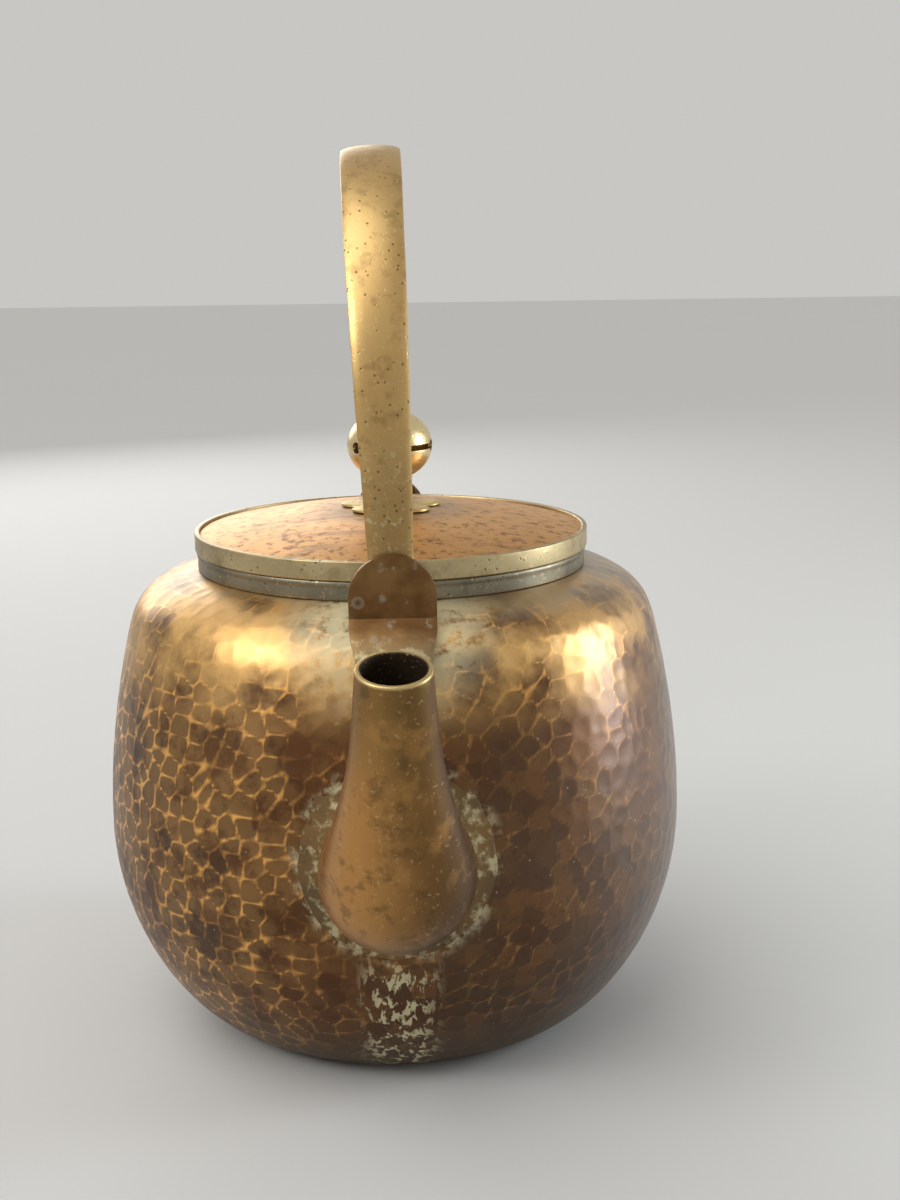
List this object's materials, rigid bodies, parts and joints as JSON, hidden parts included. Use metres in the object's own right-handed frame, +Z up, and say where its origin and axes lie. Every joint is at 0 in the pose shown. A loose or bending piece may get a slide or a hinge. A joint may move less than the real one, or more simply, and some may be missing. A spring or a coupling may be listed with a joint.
{
  "type": "water ewer",
  "caption": "Round hammered copper water ewer with a stub spout, a lift-off lid with a slit ball knob, and a strap handle that folds to either side.",
  "frame": {"origin": "centre of the flat base that the ewer stands on", "axes": "+Z up along the body's axis, -Y towards the spout, +X to the right of someone who faces the spout"},
  "size_m": [0.165, 0.2091, 0.2481],
  "materials": {
    "hammered_copper": "hammered copper with a brown patina",
    "warm_copper": "worn orange copper",
    "dark_copper": "dark brown patina",
    "grey_brass": "grey tarnished brass",
    "yellow_brass": "worn yellow brass",
    "bronze": "smooth golden brown bronze"
  },
  "bodies": {
    "ewer": {"body_shell": "hammered_copper", "neck_collar": "grey_brass", "spout": "bronze", "spout_flange": "warm_copper", "front_lug": "dark_copper", "front_pivot_pin": "bronze", "rear_lug": "dark_copper", "rear_pivot_pin": "bronze"},
    "handle": {"handle_strap": "yellow_brass"},
    "lid": {"lid_plate": "warm_copper", "lid_rim_band": "grey_brass", "lid_flange": "dark_copper", "lid_flower_seat": "yellow_brass", "lid_stem_washer": "dark_copper", "knob_stem": "bronze", "knob_bell": "yellow_brass"}
  },
  "joints": [
    {"name": "handle_fold", "type": "hinge", "parent": "ewer", "child": "handle", "pos_m": [0, 0, 0.139], "axis": [0, 1, 0], "range_deg": [-93, 97]},
    {"name": "lid_lift", "type": "slide", "parent": "ewer", "child": "lid", "axis": [0, 0, 1], "range_m": [0, 0.03]}
  ]
}
